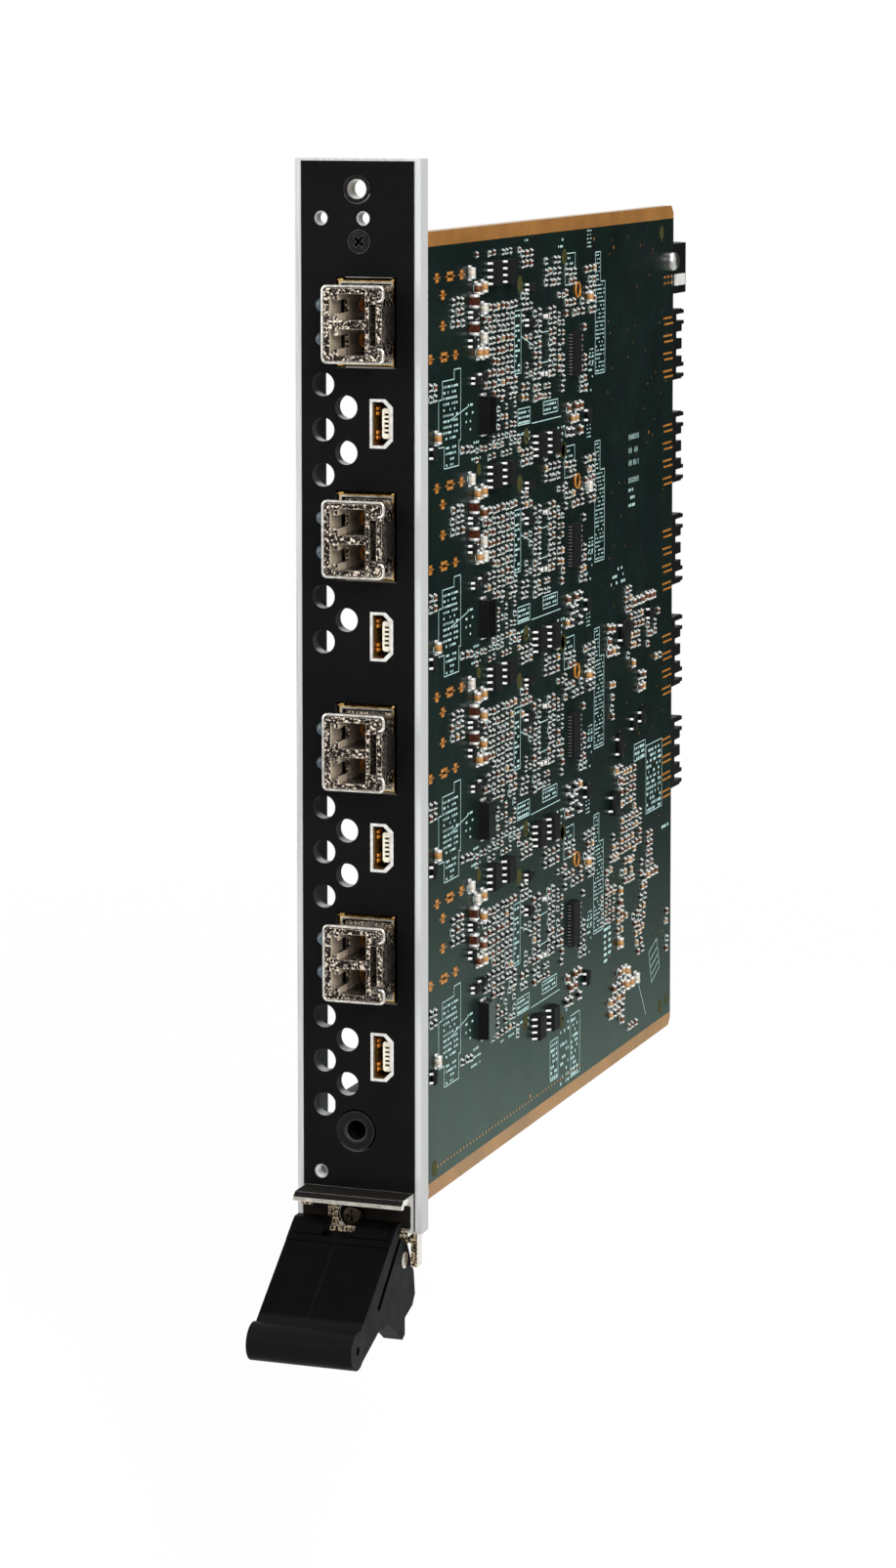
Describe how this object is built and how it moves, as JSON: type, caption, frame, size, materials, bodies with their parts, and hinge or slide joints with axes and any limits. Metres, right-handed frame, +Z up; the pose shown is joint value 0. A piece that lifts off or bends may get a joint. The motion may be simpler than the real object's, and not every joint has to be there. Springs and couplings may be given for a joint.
{
  "type": "fiber input board",
  "caption": "Plug-in circuit card behind a narrow black front panel with optical transceivers, small sockets, light pipes, vents and an ejector handle; it feeds optical signals to a chassis.",
  "frame": {"origin": "centre of the top fixing hole, on the panel's metal front face", "axes": "+X across the panel to the right, +Y from the panel to the backplane, +Z up"},
  "size_m": [0.0238, 0.2054, 0.2117],
  "materials": {
    "bare_aluminium": "satin extrusion",
    "black_film": "satin black film",
    "dark_metal": "blackened",
    "cast_metal": "rough nickelled casting",
    "steel": "plain screw steel",
    "bright_wire": "bright tinned steel",
    "cage_sheet": "plain sheet",
    "spring_brass": "gilded spring sheet",
    "latch_sheet": "dull sheet",
    "bronze": "dull bronze",
    "green_laminate": "dark green solder mask",
    "clear_plastic": "clear moulding",
    "lamp_resin": "pale resin",
    "black_plastic": "black moulding",
    "chip_resin": "moulded chip resin",
    "brown_ceramic": "brown ceramic",
    "white_plastic": "white moulding"
  },
  "bodies": {
    "card": {"front_panel": "bare_aluminium", "front_overlay": "black_film", "mounting_bush": "dark_metal", "upper_holder_screw": "dark_metal", "upper_holder": "cast_metal", "lower_holder": "cast_metal", "ejector_bracket": "cast_metal", "sfp_body_1": "cast_metal", "sfp_body_2": "cast_metal", "sfp_body_3": "cast_metal", "sfp_body_4": "cast_metal", "board_screws": "steel", "bracket_screw": "steel", "handle_pin": "steel", "guide_screw": "steel", "data_shell_1": "bright_wire", "data_shell_2": "bright_wire", "data_shell_3": "bright_wire", "data_shell_4": "bright_wire", "sfp_cage_1": "cage_sheet", "sfp_cage_2": "cage_sheet", "sfp_cage_3": "cage_sheet", "sfp_cage_4": "cage_sheet", "cage_collar_1": "spring_brass", "cage_collar_2": "spring_brass", "cage_collar_3": "spring_brass", "cage_collar_4": "spring_brass", "jack_contact": "spring_brass", "latch_plates": "latch_sheet", "optical_barrels": "bronze", "circuit_board": "green_laminate", "edge_cards": "green_laminate", "light_pipe_1": "clear_plastic", "light_pipe_2": "clear_plastic", "light_pipe_3": "clear_plastic", "light_pipe_4": "clear_plastic", "indicator_lamps": "lamp_resin", "jack_body": "black_plastic", "host_connectors": "black_plastic", "guide_block": "black_plastic", "backplane_socket_1": "black_plastic", "backplane_socket_2": "black_plastic", "backplane_socket_3": "black_plastic", "backplane_socket_4": "black_plastic", "backplane_socket_5": "black_plastic", "small_chips": "chip_resin", "bus_chips": "chip_resin", "power_coils": "chip_resin", "receiver_chips": "chip_resin", "processor_chip": "chip_resin", "brown_capacitors": "brown_ceramic", "key_block": "white_plastic", "data_inserts": "white_plastic"},
    "handle": {"ejector_handle": "black_plastic"},
    "bail_1": {"sfp_bail_1": "bright_wire"},
    "bail_2": {"sfp_bail_2": "bright_wire"},
    "bail_3": {"sfp_bail_3": "bright_wire"},
    "bail_4": {"sfp_bail_4": "bright_wire"}
  },
  "joints": [
    {"name": "handle_hinge", "type": "hinge", "parent": "card", "child": "handle", "pos_m": [-0.0003, -0.0023, -0.192], "axis": [1, 0, 0], "range_deg": [0, 45]},
    {"name": "bail_hinge_1", "type": "hinge", "parent": "card", "child": "bail_1", "pos_m": [0.0071, -0.00617, -0.0237], "axis": [0, 0, 1], "range_deg": [0, 90]},
    {"name": "bail_hinge_2", "type": "hinge", "parent": "card", "child": "bail_2", "pos_m": [0.0071, -0.00617, -0.0618], "axis": [0, 0, 1], "range_deg": [0, 90]},
    {"name": "bail_hinge_3", "type": "hinge", "parent": "card", "child": "bail_3", "pos_m": [0.0071, -0.00617, -0.0999], "axis": [0, 0, 1], "range_deg": [0, 90]},
    {"name": "bail_hinge_4", "type": "hinge", "parent": "card", "child": "bail_4", "pos_m": [0.0071, -0.00617, -0.138], "axis": [0, 0, 1], "range_deg": [0, 90]}
  ]
}
